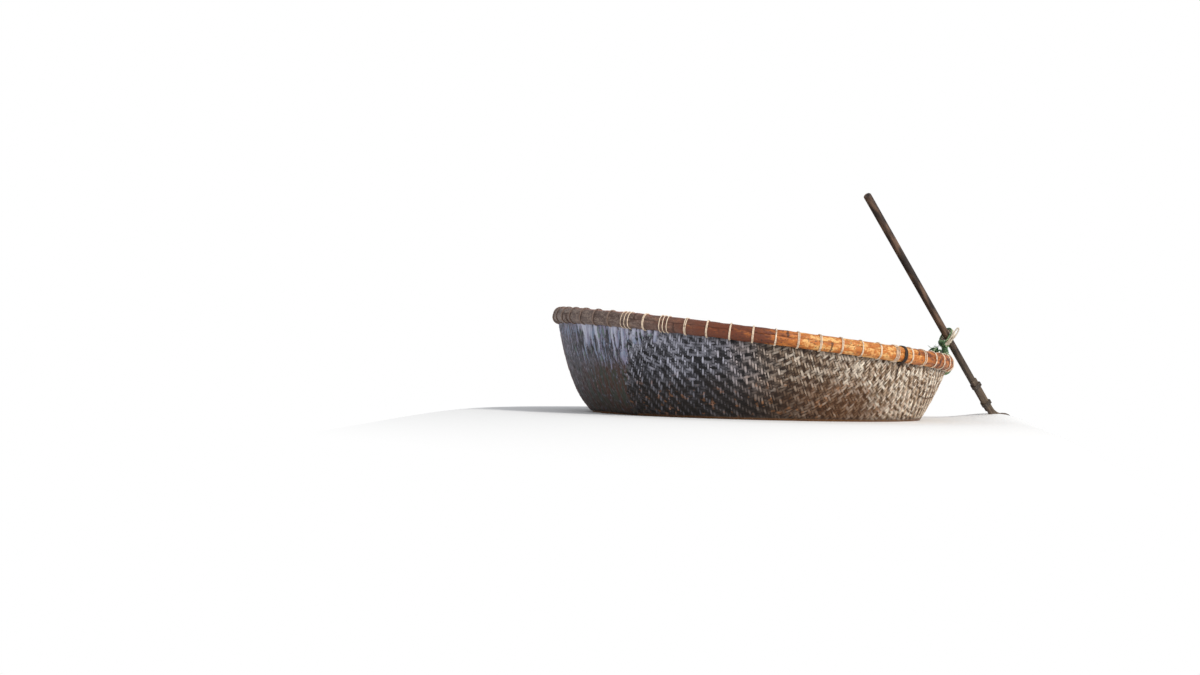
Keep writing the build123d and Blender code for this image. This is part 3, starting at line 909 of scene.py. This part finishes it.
def lath_paint(along, across):
    """The finish of a lath that runs along one axis."""

    def paint(place):
        turned = {0: place.part(along), 1: place.part(across), 2: place.part("Z")}
        turned = place.node("ShaderNodeCombineXYZ", None, turned)
        fibre = turned.streaks(5.0, 420.0, 5.0, 3)
        streak = turned.streaks(7.0, 90.0, 7.0, 4)
        base = streak.step(0.38, 0.62).mixed(LATH_PALE, LATH_BROWN)
        base = (place.noise(9.0, 4) + streak * 0.3).step(0.62, 0.80).mixed(base, LATH_GREY)
        base = place.noise(48.0, 3).step(0.58, 0.72).mixed(base, LATH_STAIN)
        return {
            "Base Color": (fibre * 0.8 + 0.50).shaded(base),
            "Roughness": 0.66,
            "bump": (fibre + streak * 0.5, 0.0012),
        }

    return paint


FORE_AFT_LATH = finish("lath_fore_aft", lath_paint("X", "Y"))
ATHWART_LATH = finish("lath_athwart", lath_paint("Y", "X"))
for number in (1, 2, 3, 4):
    dress(f"rib_fore_aft_{number}", FORE_AFT_LATH)
    dress(f"rib_athwart_{number}", ATHWART_LATH)

places = (np.arange(4) - 1.5) * LATH_SPACING
cords = []
for x in places:
    for y in places:
        for hand in (1, -1):
            over = (0.0, LATHS_HIGH + LATH_CORD * (1 + hand))
            way = [*LATH_TIE, over, *((-out, high) for out, high in reversed(LATH_TIE))]
            for turn in (-1, 1):
                line = []
                for out, high in way:
                    aside = turn * LATH_CORD * 1.1 + chance.normal(0, LATH_CORD_STRAY)
                    tie_x = x + out * LATH_WIDTH / 2 - hand * aside
                    tie_y = y + out * hand * LATH_WIDTH / 2 + aside
                    distance = np.interp(np.hypot(tie_x, tie_y), BOWL_RADIUS, ALONG_BOWL)
                    line.append(on_bowl(distance, np.arctan2(tie_y, tie_x), -MAT_THICKNESS - high))
                line = smooth_line(line, LATH_CORD_STEP)
                cords.append(cord(line, LATH_CORD, turn + hand, plies=2, lay=DARK_CORD_LAY))
cord_piece("lath_ties", cords, "hull", "dark_cord", DARK_CORD)

# The seat: one plank of weathered timber across the boat, sawn to the bowl's curve at its ends.
# It is rubbed pale in the middle.
SEAT_PALE = colour(146, 116, 90)
SEAT_BROWN = colour(100, 76, 58)
SEAT_STAIN = colour(78, 60, 48)
SEAT_RUBBED = colour(172, 146, 118)


def seat_paint(place):
    """Timber with its grain across the boat."""
    rings = place.stretched(9.0, 0.5, 9.0).noise(3.0, 4, 1.2)
    fibre = place.streaks(260.0, 6.0, 260.0, 3)
    base = rings.step(0.40, 0.62).mixed(SEAT_PALE, SEAT_BROWN)
    base = place.noise(30.0, 3).step(0.58, 0.75).mixed(base, SEAT_STAIN)
    # On the seat this is only wear, rubbed pale in the middle.
    rubbed_and_edge_lit = (1 - (place.part("Y") ** 2).step(0.008, 0.05)) * place.noise(12.0, 3).step(0.36, 0.56)
    base = (rubbed_and_edge_lit * 0.35).mixed(base, SEAT_RUBBED)
    return {
        "Base Color": (fibre * 0.7 + 0.58).shaded(base),
        "Roughness": 0.62 - rubbed_and_edge_lit * 0.12,
        "bump": (fibre + rings, 0.0012),
    }


dress("seat_plank", finish("seat_timber", seat_paint))

# The tie: turns of laid green rope round the rim at the bow, which carry the oar's loop. Two more
# cross over them on the slant, and they end in a frayed knot with short tails on the inner side.
ROPE_SIZE = 0.0035
CROSSING_ROPE = ROPE_SIZE * 0.8
KNOT_ROPE = ROPE_SIZE * 0.85
KNOT_TAIL_ROPE = ROPE_SIZE * 0.7
TURN_STEP = 0.003
ROPE_LAY = 5.5
STRAND_OUT = 0.5
STRAND_SIZE = 0.54
TIE_AZIMUTH = 1.5 * PITCH
TIE_TURNS = 4
TIE_PITCH = 0.008
KNOT_IN = 0.029
KNOT_UP = 0.008
KNOT_REACH = 0.0095
KNOT_WAVE = 0.0048
KNOT_HALF_WIDTH = 0.0125
CROSSING_TURNS = (-0.012, 0.011)
# The knot's tails: which way each lies, in radians from straight inward, and how long it is
KNOT_TAILS = ((0.5, 0.030), (-0.7, 0.024), (1.9, 0.020))
FIBRES = 50
FIBRE_RADIUS = 0.0005
FIBRES_FROM = 0.014


def rope(line, size, seed):
    """A rope of three strands laid round a line, as cords."""
    one, two = square_to(line, np.array((0.3, 0.1, 1.0)))
    run = run_along(line)
    strands = []
    for strand in range(3):
        turn = run * 2 * pi / (ROPE_LAY * size) + strand * 2 * pi / 3 + seed
        out = one * np.cos(turn)[:, None] + two * np.sin(turn)[:, None]
        strands.append(cord(line + out * size * STRAND_OUT, size * STRAND_SIZE, seed + strand))
    return strands


GREEN = colour(84, 122, 84)
GREEN_PALE = colour(142, 166, 122)
GREEN_DARK = colour(34, 48, 38)


def green_paint(place):
    """Green rope, bleached in patches and dark between its strands."""
    grain = mark(place, "grain", "Vector")
    base = place.noise(90.0, 3).step(0.40, 0.62).mixed(GREEN, GREEN_PALE)
    base = grain.streaks(120.0, 0.8, 3.0, 3).step(0.52, 0.70).mixed(base, GREEN_DARK)
    return {"Base Color": base, "Roughness": 0.7, "bump": (place.noise(1100.0, 2), 0.0004)}


GREEN_ROPE_FINISH = finish("green_rope", green_paint)
cords = []
for turn in range(TIE_TURNS):
    place = TIE_AZIMUTH + (turn - (TIE_TURNS - 1) / 2) * TIE_PITCH / RIM_RADIUS
    cords += rope(smooth_line(rim_turn(place, SNUG + ROPE_SIZE), TURN_STEP), ROPE_SIZE, turn)
knot_middle = on_rim(TIE_AZIMUTH, -KNOT_IN, HOOP_RADIUS + KNOT_UP)
tangent = np.array((-sin(TIE_AZIMUTH), cos(TIE_AZIMUTH), 0))
inward = on_rim(TIE_AZIMUTH, -1.0, 0) - on_rim(TIE_AZIMUTH, 0, 0)
upward = on_rim(TIE_AZIMUTH, 0, 1.0) - on_rim(TIE_AZIMUTH, 0, 0)
winding = []
for turn in np.linspace(0, 2 * pi, 90, endpoint=False):
    ring = KNOT_REACH + KNOT_WAVE * cos(5 * turn)
    round_knot = inward * ring * cos(2 * turn) + upward * ring * sin(2 * turn)
    winding.append(knot_middle + round_knot + tangent * KNOT_HALF_WIDTH * sin(5 * turn))
cords += rope(smooth_line(winding, closed=True), KNOT_ROPE, 1.3)
for lean in CROSSING_TURNS:
    line = rim_turn(TIE_AZIMUTH - lean / RIM_RADIUS, SNUG + ROPE_SIZE * 2.4, 2 * lean)
    cords += rope(smooth_line(line, TURN_STEP), CROSSING_ROPE, lean * 90)
for tilt, long in KNOT_TAILS:
    line = []
    for share in np.linspace(0, 1, 5):
        line.append(
            knot_middle
            + tangent * (0.010 + long * share) * sin(tilt)
            + inward * (0.008 + long * share) * cos(tilt) * 0.6
            + upward * (0.010 + 0.012 * share - 0.024 * share**2)
        )
    cords += rope(smooth_line(line), KNOT_TAIL_ROPE, tilt)
for _ in range(FIBRES):
    away = chance.standard_normal(3)
    away *= np.sign(away @ inward) / np.linalg.norm(away)
    start = knot_middle + FIBRES_FROM * away
    away = away * chance.uniform(0.006, 0.016)
    droop = chance.standard_normal(3) * 0.002
    line = [start, start + away * 0.5 + droop, start + away + droop * 2.5]
    cords.append(cord(smooth_line(line, TURN_STEP), FIBRE_RADIUS, 3.0, around=3))
tie = cord_piece("oar_tie_rope", cords, "hull", "tie_rope", GREEN_ROPE_FINISH)
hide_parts("oar_tie")

# The loop: two rings of white rope round the shaft, on a twisted stem, with one ring of green rope
# beside them and a spare bight. Green seizing binds the rings to the stem and is wound down round
# it. A short white end is left over the rim and stays with the tie.
LOOP_ROPE = 0.004
LOOP_BEND = 0.01551
LOOP_STRAIGHT = 0.020
LOOP_SPACING = 0.0084
GREEN_ROPE = 0.0026
SEIZING = 0.0024
STEM_ROPE = 0.0032
RING_ROPE = LOOP_ROPE * 0.95
TAIL_ROPE = LOOP_ROPE * 0.62
STEM_WINDING_OUT = 0.0086
STEM_WINDING_TAPER = 0.0016
STEM_WINDING_SPAN = (0.04, 0.94)
STEM_WINDING_STEP = 0.0022
RING_STEP = 0.0028
# The white end's way over the rim: how far aside, across and up
TAIL_WAY = ((0.016, 0.004, 0.0300), (0.024, 0.012, 0.0285), (0.031, 0.019, 0.0190))
SHAFT_LEAN = radians(48)
DIP_MIDDLE = radians(sum(frame["joints"][1]["range_deg"]) / 2)
OAR_SWING = radians(45)
PIVOT = np.array(frame["joints"][0]["pos_m"])
swing = np.array((cos(OAR_SWING), sin(OAR_SWING), 0))
beside = np.array((-sin(OAR_SWING), cos(OAR_SWING), 0))


def up_shaft(lean):
    """The shaft's direction at a lean from upright."""
    return np.array((0, 0, cos(lean))) - swing * sin(lean)


RING_AXIS = up_shaft(SHAFT_LEAN + DIP_MIDDLE)
RING_LENGTHWAYS = np.cross(beside, RING_AXIS)
RING_FOOT = PIVOT - RING_LENGTHWAYS * (LOOP_STRAIGHT / 2 + LOOP_BEND)
STEM_FOOT = np.array((PIVOT[0], PIVOT[1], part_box("oar_loop")[0].z))


def ring_round_shaft(place, size):
    """A closed ring of rope round the shaft, at a place along it."""
    ring = []
    for end in (1, -1):
        for turned in np.radians(np.linspace(-90, 90, 7)):
            lengthways = end * (LOOP_STRAIGHT / 2 + LOOP_BEND * cos(turned))
            sideways = end * LOOP_BEND * sin(turned)
            ring.append(PIVOT + RING_AXIS * place + RING_LENGTHWAYS * lengthways + beside * sideways)
    return rope(smooth_line(ring, RING_STEP, closed=True), size, place * 300)


WHITE = colour(232, 220, 200)
WHITE_GREYED = colour(186, 172, 148)
WHITE_DIRT = colour(120, 104, 84)


def white_paint(place):
    """White rope, greyed in patches and dirty between its strands."""
    grain = mark(place, "grain", "Vector")
    base = place.noise(70.0, 3).step(0.42, 0.66).mixed(WHITE, WHITE_GREYED)
    base = grain.streaks(140.0, 0.8, 3.0, 3).step(0.60, 0.78).mixed(base, WHITE_DIRT)
    return {"Base Color": base, "Roughness": 0.75, "bump": (place.noise(1100.0, 2), 0.0004)}


WHITE_ROPE_FINISH = finish("white_rope", white_paint)
cords = []
for place in (-LOOP_SPACING / 2, LOOP_SPACING / 2):
    cords += ring_round_shaft(place, RING_ROPE)
for side in (-1, 1):
    aside = beside * STEM_ROPE * side
    line = [STEM_FOOT + aside, (STEM_FOOT + RING_FOOT) / 2 - aside, RING_FOOT + aside]
    cords += rope(smooth_line(line), STEM_ROPE, side)
bight = [
    RING_FOOT + np.array((0.004, -0.012, -0.002)),
    PIVOT + np.array((0.010, -0.024, 0.003)),
    PIVOT + np.array((0.021, -0.027, 0.024)),
    PIVOT + np.array((0.027, -0.028, 0.031)),
    PIVOT + np.array((0.029, -0.028, 0.024)),
    PIVOT + np.array((0.018, -0.027, 0.000)),
]
cords += rope(smooth_line(bight, closed=True), TAIL_ROPE, 0.9)
loop = cord_piece("oar_loop_rope", cords, "loop", "loop_rope", WHITE_ROPE_FINISH)
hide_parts("oar_loop")

tail = [STEM_FOOT + np.array((0.002, -0.008, 0.006))]
for aside, across, up in TAIL_WAY:
    tail.append(on_rim(TIE_AZIMUTH - aside / RIM_RADIUS, across, up))
cords = rope(smooth_line(tail), TAIL_ROPE, 0.4)
cord_piece("oar_tie_tail", cords, "hull", "loop_rope", WHITE_ROPE_FINISH)

cords = ring_round_shaft(LOOP_SPACING / 2 + LOOP_ROPE + GREEN_ROPE, GREEN_ROPE)
binding_reach = LOOP_SPACING / 2 + LOOP_ROPE + SEIZING
for place in np.arange(-2, 3) * 2.1 * SEIZING:
    ring = []
    for turn in np.linspace(0, 2 * pi, 12, endpoint=False):
        across = RING_AXIS * (binding_reach * cos(turn) + 0.002 * (1 + cos(turn)))
        lengthways = RING_LENGTHWAYS * (LOOP_ROPE + SEIZING) * sin(turn)
        ring.append(RING_FOOT + beside * place + across + lengthways)
    cords += rope(smooth_line(ring, closed=True), SEIZING, place * 500)
stem = RING_FOOT - STEM_FOOT
stem_length = np.linalg.norm(stem)
round_stem = np.cross(stem / stem_length, beside)
winding = []
for share in np.linspace(*STEM_WINDING_SPAN, 96):
    turned = share * stem_length / (2.15 * SEIZING) * 2 * pi
    out = STEM_WINDING_OUT - STEM_WINDING_TAPER * share
    winding.append(STEM_FOOT + stem * share + (beside * cos(turned) + round_stem * sin(turned)) * out)
cords += rope(smooth_line(winding, STEM_WINDING_STEP), SEIZING, 2.2)
cord_piece("oar_loop_seizing", cords, "loop", "tie_rope", GREEN_ROPE_FINISH)

# The oar: a weathered pole, halved at its lower end, with a board let into it as the blade. Two
# bands of tarred cord hold the blade.
POLE_DARK = colour(44, 32, 26)
POLE_PALE = colour(118, 90, 70)
BLADE_DARK = colour(78, 58, 46)
BLADE_PALE = colour(150, 124, 98)
WEED = colour(80, 72, 60)
BAND_DARK = colour(50, 42, 36)
BAND_WORN = colour(92, 80, 68)


def oar_paint(dark, pale):
    """The finish of the oar's wood, with its grain along the shaft and weed low down."""
    axis = up_shaft(SHAFT_LEAN)

    def paint(place):
        turned = {}
        for number, direction in enumerate((axis, beside, np.cross(beside, axis))):
            sockets = {0: place, 1: tuple(direction)}
            settings = {"operation": "DOT_PRODUCT"}
            turned[number] = place.node("ShaderNodeVectorMath", settings, sockets, 1)
        turned = place.node("ShaderNodeCombineXYZ", None, turned)
        fibre = turned.streaks(9.0, 150.0, 150.0, 3)
        cloud = turned.streaks(16.0, 55.0, 55.0, 4)
        base = (cloud * 0.8 + fibre * 0.3).step(0.46, 0.74).mixed(dark, pale)
        weedy = (1 - place.part("Z").step(0.20, 0.32)) * cloud.step(0.35, 0.55)
        base = (weedy * 0.6).mixed(base, WEED)
        return {
            "Base Color": (fibre * 0.6 + 0.62).shaded(base),
            "Roughness": 0.7,
            "bump": (fibre * 0.5 + cloud, 0.0010),
        }

    return paint


dress("oar_shaft", finish("oar_wood", oar_paint(POLE_DARK, POLE_PALE)))
dress("oar_blade", finish("blade_wood", oar_paint(BLADE_DARK, BLADE_PALE)))


def band_paint(place):
    """Worn tarred cord."""
    base = place.noise(300.0, 3).step(0.4, 0.7).mixed(BAND_DARK, BAND_WORN)
    return {"Base Color": base, "Roughness": 0.8, "bump": (place.noise(700.0, 2), 0.0005)}


dress("oar_blade_bands", finish("band_cord", band_paint))

# The floor stands in for the water and is plain and pale. It meets the hull along the water's slope,
# rises a little where the oar goes in, and falls away all round, below the level of the view.
FLOOR_REACH = 60.0
SHORE_POINTS = 180
SLOPE_TO = 0.75
FAR_FROM = 1.70
FAR_LEVEL = -0.280
OAR_ENTRY = (0.790, 0.310)
OAR_ENTRY_RISE = 0.026
OAR_ENTRY_REACH = 0.14
WHITE_FROM = 0.72
WHITE_TO = 1.35
FLOOR_GREY = (0.92, 0.92, 0.92)


def water_height(x, y):
    """The floor's height at a place."""
    near = 1 - ramp(np.hypot(x, y), SLOPE_TO, FAR_FROM)
    slope = x * WATER_RISE + y * WATER_SIDE + WATER_LEVEL
    from_oar = (x - OAR_ENTRY[0]) ** 2 + (y - OAR_ENTRY[1]) ** 2
    swell = OAR_ENTRY_RISE * np.exp(-from_oar / OAR_ENTRY_REACH**2)
    return slope * near + FAR_LEVEL * (1 - near) + swell


# The shore is where the floor meets the hull, which a few rounds find
azimuths = np.arange(SHORE_POINTS) * 2 * pi / SHORE_POINTS
shore = np.full(SHORE_POINTS, RIM_RADIUS)
for _ in range(6):
    level = water_height(shore * np.cos(azimuths), shore * np.sin(azimuths))
    shore = np.interp(level, BOWL_HEIGHT, BOWL_RADIUS) - MAT_THICKNESS / 2
outward = np.concatenate([np.linspace(0.0, 1.0, 41)[:-1], np.geomspace(1.0, FLOOR_REACH, 30)])
points = []
for run in outward:
    x, y = (shore + run) * np.cos(azimuths), (shore + run) * np.sin(azimuths)
    points.append(np.stack([x, y, water_height(x, y)], -1))
points = np.concatenate(points)
faces = [[a, d, c, b] for a, b, c, d in wrapped_faces(len(outward), SHORE_POINTS)]
mesh = bpy.data.meshes.new("floor")
mesh.from_pydata(points.tolist(), [], faces)
mesh.polygons.foreach_set("use_smooth", np.full(len(mesh.polygons), True))
floor = bpy.data.objects.new("floor", mesh)
bpy.context.scene.collection.objects.link(floor)

made = bpy.data.materials.new("pale_floor")
made.use_nodes = True
made.node_tree.nodes.clear()
start = Wire(made.node_tree)
here = start.node("ShaderNodeTexCoord", None, None, "Object")
away = here.node("ShaderNodeVectorMath", {"operation": "LENGTH"}, {0: here}, 1)
seen = start.node("ShaderNodeLightPath", None, None, "Is Camera Ray")
plain = start.node("ShaderNodeBsdfDiffuse", None, {"Color": FLOOR_GREY})
white = start.node("ShaderNodeEmission", None, {"Color": (1.0, 1.0, 1.0), "Strength": 1.0})
far = away.step(WHITE_FROM, WHITE_TO)
surface = start.node("ShaderNodeMixShader", None, {0: far * seen, 1: plain, 2: white})
start.node("ShaderNodeOutputMaterial", None, {"Surface": surface})
mesh.materials.append(made)

# The light: an even pale sky, white to the camera, and one broad lamp high on the right.
SKY = 0.62
SKY_COLOUR = (0.95, 0.97, 1.0)
KEY_STRENGTH = 2.0
KEY_COLOUR = (1.0, 0.97, 0.92)
KEY_SOFTNESS = radians(14)
KEY_FROM = Vector((0.62, -0.62, 0.72))
world = bpy.data.worlds.new("studio")
world.use_nodes = True
world.node_tree.nodes.clear()
bpy.context.scene.world = world
start = Wire(world.node_tree)
seen = start.node("ShaderNodeLightPath", None, None, "Is Camera Ray")
plain = start.node("ShaderNodeBackground", None, {"Color": SKY_COLOUR, "Strength": SKY})
white = start.node("ShaderNodeBackground", None, {"Color": (1.0, 1.0, 1.0), "Strength": 1.0})
surface = start.node("ShaderNodeMixShader", None, {0: seen, 1: plain, 2: white})
start.node("ShaderNodeOutputWorld", None, {"Surface": surface})

key = bpy.data.lights.new("key", "SUN")
key.energy, key.angle, key.color = KEY_STRENGTH, KEY_SOFTNESS, KEY_COLOUR
lamp = bpy.data.objects.new("key", key)
lamp.rotation_mode = "QUATERNION"
lamp.rotation_quaternion = KEY_FROM.to_track_quat("Z", "Y")
bpy.context.scene.collection.objects.link(lamp)

# The view: from across the water and a little below the level of the rim, which runs down to the
# right. Its place in the picture is set by the rim's middle and the scale.
VIEW_DISTANCE = 15.0
VIEW_RISE = radians(-1.3)
VIEW_ROLL = radians(7.1)
VIEW_TURN = radians(2)
PIXELS_PER_METRE = 335.0
RIM_AT_PIXEL = (753.0, 340.6)
PICTURE = (1200, 675)
SENSOR = 36.0

right = Vector((cos(VIEW_ROLL) * cos(VIEW_TURN), cos(VIEW_ROLL) * sin(VIEW_TURN), sin(VIEW_ROLL)))
back = Vector((sin(VIEW_TURN) * cos(VIEW_RISE), -cos(VIEW_TURN) * cos(VIEW_RISE), sin(VIEW_RISE)))
right = (right - back * right.dot(back)).normalized()
above = back.cross(right)
aside = (RIM_AT_PIXEL[0] - PICTURE[0] / 2) / PIXELS_PER_METRE
below = (RIM_AT_PIXEL[1] - PICTURE[1] / 2) / PIXELS_PER_METRE
target = Vector((0, 0, RIM_HEIGHT)) - right * aside + above * below
camera = bpy.data.cameras.new("view")
camera.sensor_width = SENSOR
camera.lens = SENSOR * PIXELS_PER_METRE * VIEW_DISTANCE / PICTURE[0]
camera.clip_end = 200
viewer = bpy.data.objects.new("view", camera)
facing = Matrix((right, above, back)).transposed().to_4x4()
viewer.matrix_world = Matrix.Translation(target + back * VIEW_DISTANCE) @ facing
bpy.context.scene.collection.objects.link(viewer)
bpy.context.scene.camera = viewer
bpy.context.scene.view_settings.view_transform = "Standard"
